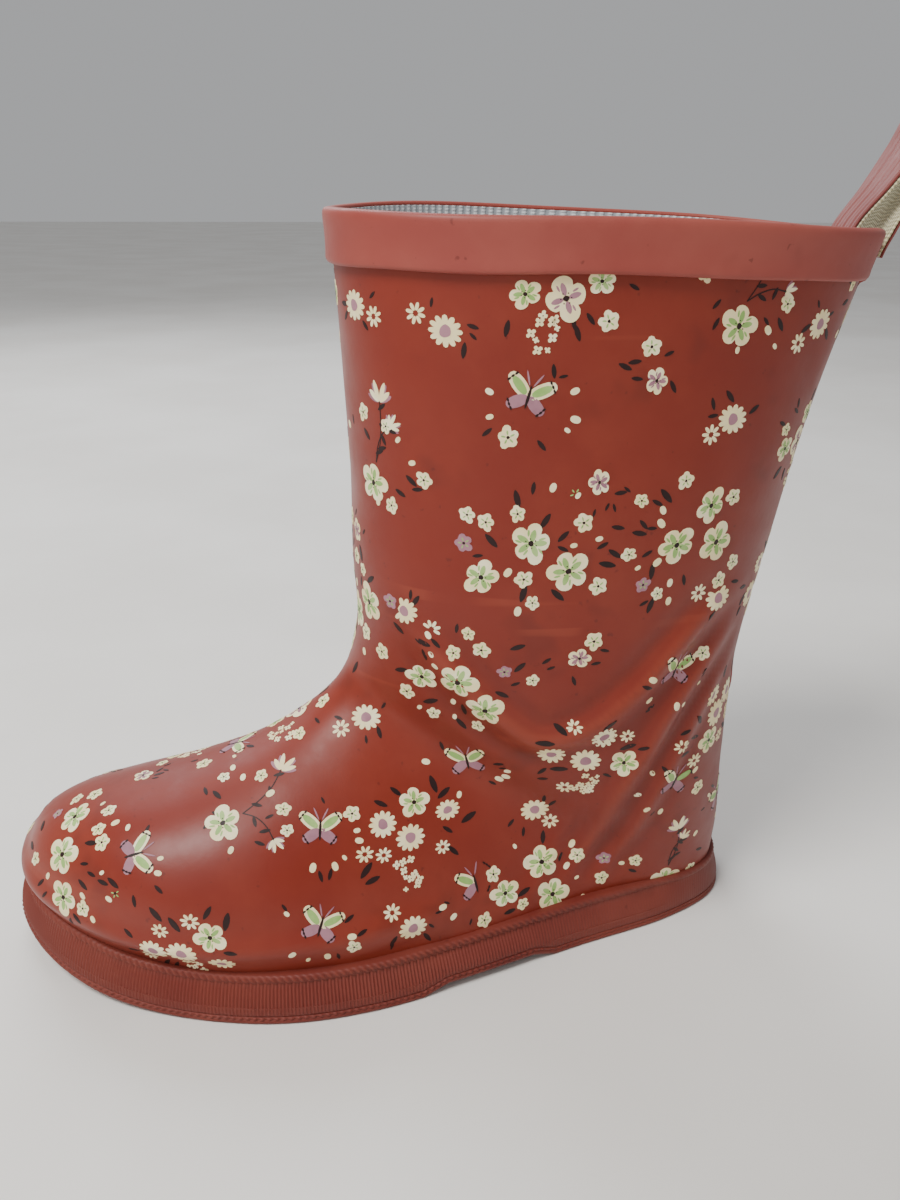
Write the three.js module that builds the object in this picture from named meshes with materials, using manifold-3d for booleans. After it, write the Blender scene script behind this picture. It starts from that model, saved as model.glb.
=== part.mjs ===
// A child's rubber rain boot for the left foot.
// Millimetres. +X points to the toe, +Y to the outer side of the foot, +Z up.
// The last is drawn with its heel's back at x = 0 and the floor at z = 0.
// At the end the group moves so that its origin lies at the bottom centre of its box.
import * as THREE from 'three';
import { mergeVertices } from 'three/addons/utils/BufferGeometryUtils.js';
import Module from 'manifold-3d';

const wasm = await Module();
wasm.setup();

// Driving dimensions.
const SOLE_LENGTH = 211;
const WALL = 2.2;
const GAP = 0.3;
const OUTSOLE_THICKNESS = 5;
const FOXING_TOP = 13;
const FOXING_TOE_RISE = 1.2;
const FOXING_INSET = 1.2;
const TOE_SPRING = 7;
const SPRING_START = 157;
const INSOLE_THICKNESS = 3.2;
const ARCH_RISE = 2.2;
const HEEL_FRONT = 62;
const ARCH_FRONT = 102;
const ARCH_SLOPE = 7;
const GROOVE_DEPTH = 2;
const GROOVE_WIDTH = 3;
const GROOVE_PITCH = 9;
const HEEL_GROOVE_START = 14;
const HEEL_GROOVES = 5;
const BALL_GROOVE_START = 112;
const BALL_GROOVES = 9;
const SOLE_RIM = 5;
const BAND_HEIGHT = 11.5;
const BAND_THICKNESS = 1.3;
const STRIP_THICKNESS = 1;
const STRIP_HALF_ANGLE = 0.2;
const STRIP_END = 3.7;
const STRAP_WIDTH = 15;
const STRAP_THICKNESS = 1.8;

// How finely the faceted forms are cut.
const ROUND_STEPS = 30;
const LENGTH_STEPS = 34;
const OUTLINE_STEPS = 72;
const SPRING_STEPS = 8;
const STRAP_STEPS = 30;
const STRIP_STEPS = 10;

// Room that the cutting forms keep round the boot.
const CUT_MARGIN = 40;
const CUT_HALF_WIDTH = 70;

// The last's stations, from the collar (first) round the heel bend to the toe's tip (last).
// Each section plane runs from a back or sole point to a front or top point.
const STATIONS = {
  frontX: [116.5, 114.5, 113, 113, 112, 113.5, 116, 121, 130, 142.5, 159, 178, 192.5, 202.5, 207, 208.2],
  frontZ: [197.5, 166, 137, 113, 96, 86, 79, 72.5, 66, 60, 54.5, 49.5, 44, 37, 28, 19],
  backX: [-21, -10, -2, 4.5, 5, 3.5, 8, 30, 56, 82, 109, 140, 168, 188, 202, 208.2],
  backZ: [194, 157, 120, 84, 50, 20, -1, -4, -4, -4, -4, -4, -3, 1, 10, 19],
  outerWidth: [40.5, 40, 39.5, 38.5, 35.5, 30, 25, 26, 31, 34.5, 37.5, 36.3, 30.5, 22.5, 13, 0],
  innerWidth: [40.5, 40, 39.5, 38, 35.5, 31.5, 28, 27, 28, 31, 35.5, 37, 33.5, 26, 14.5, 0],
  centreY: [0, 0, 0, 0, 0, -0.5, -1, -0.5, 0.5, 3, 4, 3, -1, -5, -8, -9],
  widest: [0.5, 0.5, 0.5, 0.5, 0.48, 0.44, 0.4, 0.38, 0.37, 0.37, 0.37, 0.37, 0.38, 0.42, 0.48, 0.5],
  topRoundness: [2.2, 2.2, 2.2, 2.2, 2.2, 2.2, 2.2, 2.2, 2.2, 2.25, 2.3, 2.35, 2.35, 2.3, 2.2, 2],
  soleRoundness: [2.2, 2.2, 2.2, 2.2, 2.2, 2.2, 2.4, 2.8, 3.2, 3.6, 4, 4, 3.6, 3, 2.4, 2],
};
const LAST_STATION = STATIONS.frontX.length - 1;

// The outsole's outline, once round: up the outer side from the heel, back along the inner side.
const OUTLINE = [
  [0, -2], [6, 14], [25, 24], [55, 31], [88, 39.5], [115, 45], [140, 45], [165, 38], [187, 26.5], [203, 10],
  [SOLE_LENGTH, -9], [207.5, -25], [193, -35], [168, -39], [135, -38], [95, -32.5], [55, -30], [25, -28.5],
  [6, -18],
];

// The centre line of the pull loop's strap, seen from the side: up inside the collar, over, down outside.
const STRAP_LINE = [
  [-10.5, 176], [-14, 187], [-17, 195], [-22, 203.5], [-28, 213], [-32, 220.5], [-36, 224], [-39.3, 221.5],
  [-38.6, 214], [-34, 205], [-28.6, 197.5], [-25.6, 192], [-23.2, 184],
];

// A smooth curve through evenly numbered values.
function smooth(values, t) {
  const last = values.length - 1;
  const i = Math.min(Math.max(Math.floor(t), 0), last - 1);
  const s = t - i;
  const slope = (j) => {
    const before = Math.max(j - 1, 0);
    const after = Math.min(j + 1, last);
    return (values[after] - values[before]) / (after - before);
  };
  const s2 = s * s;
  const s3 = s2 * s;
  return (2 * s3 - 3 * s2 + 1) * values[i] + (s3 - 2 * s2 + s) * slope(i)
    + (3 * s2 - 2 * s3) * values[i + 1] + (s3 - s2) * slope(i + 1);
}

function signedPower(value, exponent) {
  return Math.sign(value) * Math.pow(Math.abs(value), exponent);
}

// A point on the outside of the last.
// The angle is 0 at the front or top and half a turn at the back or sole.
function lastPoint(t, angle) {
  const at = {};
  for (const name of Object.keys(STATIONS)) {
    at[name] = smooth(STATIONS[name], t);
  }
  const c = Math.cos(angle);
  const s = Math.sin(angle);
  const power = 2 / (c >= 0 ? at.topRoundness : at.soleRoundness);
  const reach = c >= 0 ? 1 - at.widest : at.widest;
  const along = at.widest + reach * signedPower(c, power);
  const width = s >= 0 ? at.outerWidth : at.innerWidth;
  return new THREE.Vector3(
    at.backX + along * (at.frontX - at.backX),
    at.centreY + width * signedPower(s, power),
    at.backZ + along * (at.frontZ - at.backZ),
  );
}

// The same point moved out along the surface's normal, or in when the distance is negative.
function offsetPoint(t, angle, distance) {
  const point = lastPoint(t, angle);
  if (distance === 0) {
    return point;
  }
  if (t > LAST_STATION - 1e-6) {
    return point.add(new THREE.Vector3(distance, 0, 0));
  }
  const step = 0.02;
  const after = lastPoint(Math.min(t + step, LAST_STATION), angle);
  const alongT = after.sub(lastPoint(Math.max(t - step, 0), angle));
  const alongAngle = lastPoint(t, angle + step).sub(lastPoint(t, angle - step));
  const normal = alongT.cross(alongAngle).normalize();
  return point.addScaledVector(normal, distance);
}

function geometryOf(vertices, triangles) {
  const geometry = new THREE.BufferGeometry();
  const positions = vertices.flatMap((v) => [v.x, v.y, v.z]);
  geometry.setAttribute('position', new THREE.Float32BufferAttribute(positions, 3));
  geometry.setIndex(triangles.flat());
  return geometry;
}

function solidOf(geometry) {
  const bare = geometry.clone();
  bare.deleteAttribute('normal');
  bare.deleteAttribute('uv');
  const merged = mergeVertices(bare, 1e-4);
  return new wasm.Manifold(new wasm.Mesh({
    numProp: 3,
    vertProperties: new Float32Array(merged.attributes.position.array),
    triVerts: new Uint32Array(merged.index.array),
  }));
}

function geometryOfSolid(solid) {
  const mesh = solid.getMesh();
  const geometry = new THREE.BufferGeometry();
  const positions = new Float32Array(mesh.vertProperties);
  geometry.setAttribute('position', new THREE.BufferAttribute(positions, 3));
  geometry.setIndex(new THREE.BufferAttribute(new Uint32Array(mesh.triVerts), 1));
  return geometry;
}

// Quads between neighbouring rows of a grid of vertices, closed round the columns if asked.
function gridTriangles(first, rows, columns, closed, outward) {
  const triangles = [];
  for (let i = 0; i < rows - 1; i += 1) {
    for (let j = 0; j < (closed ? columns : columns - 1); j += 1) {
      const next = (j + 1) % columns;
      const a = first + i * columns + j;
      const b = first + i * columns + next;
      const c = a + columns;
      const d = b + columns;
      triangles.push(outward ? [a, d, b] : [a, b, d], outward ? [a, c, d] : [a, d, c]);
    }
  }
  return triangles;
}

// A closed form with the last's shape, grown by a distance and closed over at the collar.
function lastSolid(distance) {
  const vertices = [];
  const liftAboveCollar = 8;
  for (let i = 0; i <= LENGTH_STEPS; i += 1) {
    for (let j = 0; j < ROUND_STEPS; j += 1) {
      const angle = (2 * Math.PI * j) / ROUND_STEPS;
      const t = (Math.max(i - 1, 0) * LAST_STATION) / LENGTH_STEPS;
      const point = offsetPoint(t, angle, distance);
      if (i === 0) {
        point.z += liftAboveCollar;
      }
      vertices.push(point);
    }
  }
  const triangles = gridTriangles(0, LENGTH_STEPS + 1, ROUND_STEPS, true, true);
  const lidCentre = averageOf(vertices.slice(0, ROUND_STEPS));
  closeWithFan(vertices, triangles, 0, lidCentre, true);
  const tip = offsetPoint(LAST_STATION, 0, distance);
  closeWithFan(vertices, triangles, LENGTH_STEPS * ROUND_STEPS, tip, false);
  return solidOf(geometryOf(vertices, triangles));
}

function averageOf(points) {
  return points.reduce((sum, p) => sum.add(p), new THREE.Vector3()).divideScalar(points.length);
}

// Triangles from one ring of vertices to a point in its middle.
function closeWithFan(vertices, triangles, first, centre, upward) {
  const hub = vertices.length;
  vertices.push(centre);
  for (let j = 0; j < ROUND_STEPS; j += 1) {
    const a = first + j;
    const b = first + ((j + 1) % ROUND_STEPS);
    triangles.push(upward ? [a, b, hub] : [b, a, hub]);
  }
}

// A shell between two offsets of the last, over a run of stations and angles.
function shellPatch(stations, angles, inside, outside, closed) {
  const vertices = [];
  const columns = angles.length;
  const rows = stations.length;
  for (const offset of [outside, inside]) {
    for (const t of stations) {
      for (const angle of angles) {
        vertices.push(offsetPoint(t, angle, offset(t)));
      }
    }
  }
  const innerFirst = rows * columns;
  const triangles = [
    ...gridTriangles(0, rows, columns, closed, true),
    ...gridTriangles(innerFirst, rows, columns, closed, false),
  ];
  const edge = (a, b) => {
    triangles.push([a, b, b + innerFirst], [a, b + innerFirst, a + innerFirst]);
  };
  for (let j = 0; j < (closed ? columns : columns - 1); j += 1) {
    const next = (j + 1) % columns;
    const low = (rows - 1) * columns;
    edge(j, next);
    edge(low + next, low + j);
  }
  if (!closed) {
    for (let i = 0; i < rows - 1; i += 1) {
      edge((i + 1) * columns, i * columns);
      edge((i + 1) * columns - 1, (i + 2) * columns - 1);
    }
  }
  return geometryOf(vertices, triangles);
}

function range(from, to, steps) {
  return Array.from({ length: steps + 1 }, (_, i) => from + ((to - from) * i) / steps);
}

// How far the toe spring lifts the sole at a place along the foot.
function springAt(x) {
  const s = Math.max((x - SPRING_START) / (SOLE_LENGTH - SPRING_START), 0);
  return TOE_SPRING * s * s;
}

// The height at which upper, foxing and insole sit, just clear of the outsole's top.
function seatHeight(x) {
  return OUTSOLE_THICKNESS + GAP + springAt(x);
}

// The region between two heights that change along the foot, right across the boot.
function slabBetween(low, high) {
  const springPlaces = range(SPRING_START, SOLE_LENGTH, SPRING_STEPS);
  const places = [-CUT_MARGIN, ...springPlaces, SOLE_LENGTH + CUT_MARGIN];
  const lowLine = places.map((x) => new THREE.Vector2(x, low(x)));
  const highLine = places.map((x) => new THREE.Vector2(x, high(x)));
  return acrossSolid(new THREE.Shape([...lowLine, ...highLine.reverse()]), 2 * CUT_HALF_WIDTH);
}

// A side view shape, in x and z, made as thick as asked along Y and centred on y = 0.
function acrossGeometry(shape, width) {
  const geometry = new THREE.ExtrudeGeometry(shape, { depth: width, bevelEnabled: false, steps: 1 });
  geometry.translate(0, 0, -width / 2);
  geometry.rotateX(Math.PI / 2);
  return geometry;
}

function acrossSolid(shape, width) {
  return solidOf(acrossGeometry(shape, width));
}

// The sole's outline moved in by a distance, standing up as a prism.
function outlinePrism(inset) {
  const curve = new THREE.CatmullRomCurve3(
    OUTLINE.map(([x, y]) => new THREE.Vector3(x, y, 0)),
    true,
    'catmullrom',
    0.5,
  );
  const points = curve.getSpacedPoints(OUTLINE_STEPS).slice(0, OUTLINE_STEPS);
  const shape = new THREE.Shape(points.map((p, i) => {
    const before = points[(i + OUTLINE_STEPS - 1) % OUTLINE_STEPS];
    const after = points[(i + 1) % OUTLINE_STEPS];
    const direction = new THREE.Vector2(after.x - before.x, after.y - before.y).normalize();
    return new THREE.Vector2(p.x + inset * direction.y, p.y - inset * direction.x);
  }));
  const depth = 2 * CUT_MARGIN;
  const geometry = new THREE.ExtrudeGeometry(shape, { depth, bevelEnabled: false, steps: 1 });
  geometry.translate(0, 0, -CUT_MARGIN);
  return solidOf(geometry);
}

// The hollow leg and foot, open at the collar and underneath.
function upperGeometry() {
  const above = slabBetween(collarHeight, (x) => collarHeight(x) + CUT_MARGIN);
  const below = slabBetween(() => -CUT_MARGIN, seatHeight);
  const wall = lastSolid(0).subtract(lastSolid(-WALL));
  return geometryOfSolid(wall.subtract(above).subtract(below));
}

// The height of the collar's plane, which rises a little from back to front.
function collarHeight(x) {
  const along = (x - STATIONS.backX[0]) / (STATIONS.frontX[0] - STATIONS.backX[0]);
  return STATIONS.backZ[0] + along * (STATIONS.frontZ[0] - STATIONS.backZ[0]);
}

// The collar band, a plain ring round the top of the leg.
function collarBandGeometry() {
  const angles = range(0, 2 * Math.PI, ROUND_STEPS).slice(0, ROUND_STEPS);
  const stations = range(0, bandEnd(), 2);
  return shellPatch(stations, angles, () => GAP, () => GAP + BAND_THICKNESS, true);
}

// The station at the band's lower edge.
function bandEnd() {
  return BAND_HEIGHT / lastPoint(0, Math.PI / 2).distanceTo(lastPoint(1, Math.PI / 2));
}

// The strip down the back, which steps out over the collar band.
function backStripGeometry() {
  const lower = bandEnd() + 0.03;
  const clear = lower + 0.06;
  const stations = [0.02, lower / 2, lower, ...range(clear, STRIP_END, STRIP_STEPS)];
  const angles = range(Math.PI - STRIP_HALF_ANGLE, Math.PI + STRIP_HALF_ANGLE, 4);
  const inside = (t) => (t <= lower ? 2 * GAP + BAND_THICKNESS : GAP);
  const outside = (t) => inside(t) + STRIP_THICKNESS;
  return shellPatch(stations, angles, inside, outside, false);
}

// The pull loop, one strap bent over on itself behind the collar.
function pullLoopGeometry() {
  const curve = new THREE.CatmullRomCurve3(
    STRAP_LINE.map(([x, z]) => new THREE.Vector3(x, z, 0)),
    false,
    'centripetal',
  );
  const points = curve.getSpacedPoints(STRAP_STEPS);
  const side = (sign) => points.map((p, i) => {
    const tangent = curve.getTangentAt(i / STRAP_STEPS);
    const half = (sign * STRAP_THICKNESS) / 2;
    return new THREE.Vector2(p.x - tangent.y * half, p.y + tangent.x * half);
  });
  const shape = new THREE.Shape([...side(1), ...side(-1).reverse()]);
  return acrossGeometry(shape, STRAP_WIDTH);
}

// The rubber strip round the foot, between the upper's side and the sole's outline.
function foxingBandGeometry() {
  const high = (x) => FOXING_TOP + springAt(x) * (1 + FOXING_TOE_RISE / TOE_SPRING);
  const band = outlinePrism(FOXING_INSET).intersect(slabBetween(seatHeight, high));
  return geometryOfSolid(band.subtract(lastSolid(GAP)));
}

// The bottom of the outsole, seen from the side: heel, arch, ball and toe spring.
function outsoleSideShape() {
  const shape = new THREE.Shape();
  shape.moveTo(-CUT_MARGIN, 0);
  shape.lineTo(HEEL_FRONT, 0);
  shape.lineTo(HEEL_FRONT + ARCH_SLOPE, ARCH_RISE);
  shape.lineTo(ARCH_FRONT - ARCH_SLOPE, ARCH_RISE);
  shape.lineTo(ARCH_FRONT, 0);
  const springPlaces = range(SPRING_START, SOLE_LENGTH, SPRING_STEPS);
  const places = [...springPlaces, SOLE_LENGTH + CUT_MARGIN];
  places.forEach((x) => shape.lineTo(x, springAt(x)));
  places.reverse().forEach((x) => shape.lineTo(x, springAt(x) + OUTSOLE_THICKNESS));
  shape.lineTo(-CUT_MARGIN, OUTSOLE_THICKNESS);
  return shape;
}

// Straight grooves across the heel and the ball, which leave the main lugs between them.
function grooveSolids() {
  const row = (start, count) => range(start, start + (count - 1) * GROOVE_PITCH, count - 1);
  const places = [
    ...row(HEEL_GROOVE_START, HEEL_GROOVES),
    ...row(BALL_GROOVE_START, BALL_GROOVES),
  ];
  return places.map((x) => {
    const box = new THREE.BoxGeometry(GROOVE_WIDTH, 2 * CUT_HALF_WIDTH, CUT_MARGIN);
    box.translate(x, 0, springAt(x) + GROOVE_DEPTH - CUT_MARGIN / 2);
    return solidOf(box);
  });
}

function outsoleGeometry() {
  const whole = outlinePrism(0).intersect(acrossSolid(outsoleSideShape(), 2 * CUT_HALF_WIDTH));
  const grooves = grooveSolids().reduce((sum, groove) => sum.add(groove));
  return geometryOfSolid(whole.subtract(grooves.intersect(outlinePrism(SOLE_RIM))));
}

// The footbed, lying on the outsole inside the upper.
function insoleGeometry() {
  const slab = slabBetween(seatHeight, (x) => seatHeight(x) + INSOLE_THICKNESS);
  return geometryOfSolid(lastSolid(-WALL - GAP).intersect(slab));
}

function material(color, roughness) {
  return new THREE.MeshStandardMaterial({ color, roughness, metalness: 0 });
}

const pieces = {
  upper: [upperGeometry(), material(0x8f3f34, 0.62)],
  collar_band: [collarBandGeometry(), material(0x965550, 0.6)],
  back_strip: [backStripGeometry(), material(0x8f453c, 0.6)],
  pull_loop: [pullLoopGeometry(), material(0x8c4540, 0.65)],
  foxing_band: [foxingBandGeometry(), material(0x8a4240, 0.66)],
  outsole: [outsoleGeometry(), material(0x8a403c, 0.7)],
  insole: [insoleGeometry(), material(0xb9bcbf, 0.9)],
};

const boot = new THREE.Group();
boot.name = 'rain_boot';
for (const [name, [geometry, look]] of Object.entries(pieces)) {
  const mesh = new THREE.Mesh(geometry, look);
  mesh.name = name;
  boot.add(mesh);
}

const box = new THREE.Box3().setFromObject(boot, true);
const middle = box.getCenter(new THREE.Vector3());
boot.position.set(-middle.x, -middle.y, -box.min.z);
boot.updateMatrixWorld(true);

export default boot;
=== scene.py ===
"""A child's printed rubber rain boot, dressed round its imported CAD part.

Shapes are worked out in millimetres in the last's own frame: x runs from the heel's back to the toe,
y to the outer side of the left foot, z up from the floor. to_metres() brings them to the part's frame.
"""
import math

import bpy
import numpy as np
from mathutils import Matrix, Vector
from mathutils.bvhtree import BVHTree


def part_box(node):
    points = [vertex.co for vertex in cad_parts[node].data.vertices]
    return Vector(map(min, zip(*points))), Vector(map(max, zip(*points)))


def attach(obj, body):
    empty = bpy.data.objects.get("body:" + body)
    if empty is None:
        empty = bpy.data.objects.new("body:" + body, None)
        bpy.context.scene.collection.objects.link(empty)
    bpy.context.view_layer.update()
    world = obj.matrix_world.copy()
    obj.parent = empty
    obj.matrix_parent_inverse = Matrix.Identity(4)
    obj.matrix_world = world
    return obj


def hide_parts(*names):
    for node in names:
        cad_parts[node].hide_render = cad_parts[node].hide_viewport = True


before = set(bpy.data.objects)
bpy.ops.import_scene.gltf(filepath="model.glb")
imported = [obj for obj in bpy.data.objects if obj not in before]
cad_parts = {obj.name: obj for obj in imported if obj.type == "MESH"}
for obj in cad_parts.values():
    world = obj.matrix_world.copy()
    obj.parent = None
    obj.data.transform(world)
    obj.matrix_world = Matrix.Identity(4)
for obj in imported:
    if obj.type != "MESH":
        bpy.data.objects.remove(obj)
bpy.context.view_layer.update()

# ---------------------------------------------------------------- the last, as the CAD part has it

SOLE_LENGTH = 211
SPRING_START = 157
TOE_SPRING = 7
SEAT = 5.3
FOXING_TOP = 13
FOXING_TOE_RISE = 1.2
ARCH = ((62, 0), (69, 2.2), (95, 2.2), (102, 0))
BAND_HEIGHT = 11.5
STRIP_END = 3.7
STRIP_HALF_ANGLE = 0.2
STRAP_WIDTH = 15

STATIONS = {
    "frontX": [116.5, 114.5, 113, 113, 112, 113.5, 116, 121, 130, 142.5, 159, 178, 192.5, 202.5, 207, 208.2],
    "frontZ": [197.5, 166, 137, 113, 96, 86, 79, 72.5, 66, 60, 54.5, 49.5, 44, 37, 28, 19],
    "backX": [-21, -10, -2, 4.5, 5, 3.5, 8, 30, 56, 82, 109, 140, 168, 188, 202, 208.2],
    "backZ": [194, 157, 120, 84, 50, 20, -1, -4, -4, -4, -4, -4, -3, 1, 10, 19],
    "outerWidth": [40.5, 40, 39.5, 38.5, 35.5, 30, 25, 26, 31, 34.5, 37.5, 36.3, 30.5, 22.5, 13, 0],
    "innerWidth": [40.5, 40, 39.5, 38, 35.5, 31.5, 28, 27, 28, 31, 35.5, 37, 33.5, 26, 14.5, 0],
    "centreY": [0, 0, 0, 0, 0, -0.5, -1, -0.5, 0.5, 3, 4, 3, -1, -5, -8, -9],
    "widest": [0.5, 0.5, 0.5, 0.5, 0.48, 0.44, 0.4, 0.38, 0.37, 0.37, 0.37, 0.37, 0.38, 0.42, 0.48, 0.5],
    "topRoundness": [2.2, 2.2, 2.2, 2.2, 2.2, 2.2, 2.2, 2.2, 2.2, 2.25, 2.3, 2.35, 2.35, 2.3, 2.2, 2],
    "soleRoundness": [2.2, 2.2, 2.2, 2.2, 2.2, 2.2, 2.4, 2.8, 3.2, 3.6, 4, 4, 3.6, 3, 2.4, 2],
}
LAST_STATION = len(STATIONS["frontX"]) - 1
# How far before the toe's tip the shells stop and are closed by a fan.
TIP_CUT = 0.03

OUTLINE = [
    (0, -2), (6, 14), (25, 24), (55, 31), (88, 39.5), (115, 45), (140, 45), (165, 38), (187, 26.5), (203, 10),
    (SOLE_LENGTH, -9), (207.5, -25), (193, -35), (168, -39), (135, -38), (95, -32.5), (55, -30), (25, -28.5),
    (6, -18),
]
STRAP_LINE = [
    (-10.5, 176), (-14, 187), (-17.5, 195), (-24.2, 203.5), (-30.6, 213), (-34, 219.8), (-37.2, 223.4),
    (-39.9, 220.8), (-38.8, 213.5), (-34.2, 205), (-28.6, 197.5), (-25.7, 192), (-24, 187),
]


def smooth(values, t):
    """A smooth curve through evenly numbered values."""
    values = np.asarray(values, float)
    i = np.clip(np.floor(t).astype(int), 0, len(values) - 2)
    s = t - i
    slope = np.gradient(values)
    return ((2 * s**3 - 3 * s**2 + 1) * values[i] + (s**3 - 2 * s**2 + s) * slope[i]
            + (3 * s**2 - 2 * s**3) * values[i + 1] + (s**3 - s**2) * slope[i + 1])


def signed_power(value, exponent):
    return np.sign(value) * np.abs(value) ** exponent


def last_point(t, angle):
    """Points on the last. The angle is 0 at the front or top and half a turn at the back or sole."""
    t, angle = np.broadcast_arrays(np.asarray(t, float), np.asarray(angle, float))
    at = {name: smooth(values, t) for name, values in STATIONS.items()}
    c, s = np.cos(angle), np.sin(angle)
    power = 2 / np.where(c >= 0, at["topRoundness"], at["soleRoundness"])
    reach = np.where(c >= 0, 1 - at["widest"], at["widest"])
    along = at["widest"] + reach * signed_power(c, power)
    width = np.where(s >= 0, at["outerWidth"], at["innerWidth"])
    return np.stack([
        at["backX"] + along * (at["frontX"] - at["backX"]),
        at["centreY"] + width * signed_power(s, power),
        at["backZ"] + along * (at["frontZ"] - at["backZ"]),
    ], axis=-1)


def last_normal(t, angle):
    step = 0.02
    along_t = last_point(np.minimum(t + step, LAST_STATION), angle) - last_point(t - step, angle)
    along_angle = last_point(t, angle + step) - last_point(t, angle - step)
    normal = np.cross(along_t, along_angle)
    return normal / np.maximum(np.linalg.norm(normal, axis=-1, keepdims=True), 1e-9)


def spring(x):
    return TOE_SPRING * np.maximum((x - SPRING_START) / (SOLE_LENGTH - SPRING_START), 0) ** 2


def foxing_height(x):
    return FOXING_TOP + spring(x) * (1 + FOXING_TOE_RISE / TOE_SPRING)


def spline(points, count, closed=False):
    """Evenly spaced points on a Catmull-Rom curve."""
    p = np.asarray(points, float)
    if closed:
        p = np.vstack([p[-1], p, p[:2]])
    else:
        p = np.vstack([2 * p[0] - p[1], p, 2 * p[-1] - p[-2]])
    s = np.linspace(0, 1, 40, endpoint=False)[:, None]
    dense = [0.5 * (2 * b + (c - a) * s + (2 * a - 5 * b + 4 * c - d) * s**2 + (3 * b - a - 3 * c + d) * s**3)
             for a, b, c, d in zip(p[:-3], p[1:-2], p[2:-1], p[3:])]
    dense = np.vstack(dense + [p[-2:-1]])
    run = np.r_[0, np.cumsum(np.linalg.norm(np.diff(dense, axis=0), axis=1))]
    places = np.linspace(0, run[-1], count, endpoint=not closed)
    return np.stack([np.interp(places, run, dense[:, k]) for k in range(p.shape[1])], axis=1), run[-1]


def step_up(low, high, value):
    s = np.clip((value - low) / (high - low), 0, 1)
    return s * s * (3 - 2 * s)


outline_low_x = spline(OUTLINE, 2000, closed=True)[0][:, 0].min()
ORIGIN = np.array([
    outline_low_x - 1000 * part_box("outsole")[0].x,
    -500 * (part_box("collar_band")[0].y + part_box("collar_band")[1].y),
    0,
])


def to_metres(points):
    return (np.asarray(points, float) - ORIGIN) / 1000


# ---------------------------------------------------------------- camera

CAMERA_PLACE = (141, 261.3, 203.6)
CAMERA_AZIMUTH = math.radians(168.3)
CAMERA_PITCH = math.radians(21.7)
CAMERA_ROLL = math.radians(0.48)
CAMERA_LENS = 31.35


def add_camera():
    back = Vector((math.sin(CAMERA_AZIMUTH) * math.cos(CAMERA_PITCH),
                   -math.cos(CAMERA_AZIMUTH) * math.cos(CAMERA_PITCH), math.sin(CAMERA_PITCH)))
    right = (-back).cross(Vector((0, 0, 1))).normalized()
    up = right.cross(-back)
    rolled_right = right * math.cos(CAMERA_ROLL) + up * math.sin(CAMERA_ROLL)
    rolled_up = up * math.cos(CAMERA_ROLL) - right * math.sin(CAMERA_ROLL)
    data = bpy.data.cameras.new("camera")
    data.lens = CAMERA_LENS
    data.clip_start = 0.01
    camera = bpy.data.objects.new("camera", data)
    bpy.context.scene.collection.objects.link(camera)
    turn = Matrix((rolled_right, rolled_up, back)).transposed().to_4x4()
    camera.matrix_world = Matrix.Translation(Vector(to_metres(CAMERA_PLACE))) @ turn
    bpy.context.scene.camera = camera


add_camera()

# ---------------------------------------------------------------- wear: folds, hollows and waves

# Soft folds in the rubber, as (x, z) lines seen from the side, with the side, height and width of each.
FOLDS = [
    # the wide fold round the ankle, from the instep down and up again towards the back
    ([(107, 108), (97, 95), (88, 84.5), (79, 75.5), (70, 69.5), (58, 73), (45, 84), (37, 93), (29, 101),
      (19, 107), (8, 111)], 1, 1.5, 3.0),
    # the two long folds above the heel
    ([(61, 15), (51, 31), (46, 49), (39.5, 65), (32, 79), (21, 93), (12, 105)], 1, 1.25, 2.6),
    ([(50, 13), (41, 30), (35, 48), (28, 66), (20, 80), (9, 92)], 1, 1.0, 2.2),
    ([(72, 14), (62, 28), (55, 43), (49, 56)], 1, 0.6, 2.4),
    # the same wear on the inner side
    ([(108, 104), (98, 92), (86, 80), (72, 71), (57, 72), (43, 82), (30, 95), (15, 104)], -1, 1.3, 3.0),
    ([(58, 16), (49, 34), (42, 52), (33, 70), (20, 86)], -1, 1.1, 2.5),
    ([(46, 14), (38, 34), (30, 54), (19, 72)], -1, 0.8, 2.2),
]
TOE_SHOULDER_HEIGHT = 8


def fold_height(points, line, side, height, width):
    """How far one fold lifts each point, with a shallow hollow on both sides of it."""
    path = spline(line, 60)[0]
    offsets = points[..., None, (0, 2)] - path
    distances = np.linalg.norm(offsets, axis=-1)
    nearest = distances.argmin(axis=-1)
    distance = distances.min(axis=-1)
    run = nearest / (len(path) - 1)
    taper = step_up(0, 0.2, run) * step_up(1, 0.75, run)
    own_side = step_up(1, 12, side * points[..., 1])
    ridge = np.exp(-((distance / width) ** 2)) - 0.4 * np.exp(-(((distance - 2.2 * width) / width) ** 2))
    return height * taper * own_side * ridge


def folds(points):
    return sum(fold_height(points, *fold) for fold in FOLDS)


def relief(points):
    """How far the worn boot's surface lies outside the last at each point."""
    x, y, z = points[..., 0], points[..., 1], points[..., 2]
    # slow unevenness all over, then the folds
    lift = 0.22 * np.sin(x / 17 + 1.3 * np.sin(z / 23)) * np.sin(z / 19 + y / 31)
    lift += 0.12 * np.sin(z / 8.5 + x / 26) * np.sin(y / 12 + 1) + folds(points)
    forefoot = step_up(84, 112, x)
    above = z - foxing_height(x)
    shoulder = 1.4 * np.exp(-(((above - TOE_SHOULDER_HEIGHT) / 3.4) ** 2)) - 1.1 * step_up(6, 1, above)
    lift += forefoot * shoulder
    # a ridge over a crease, across the back above the heel
    at_back = step_up(26, 8, x) * step_up(20, 8, np.abs(y + 2))
    lift += at_back * (0.5 * np.exp(-(((z - 70) / 5) ** 2)) - 1.1 * np.exp(-(((z - 62) / 4) ** 2)))
    return lift


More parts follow.
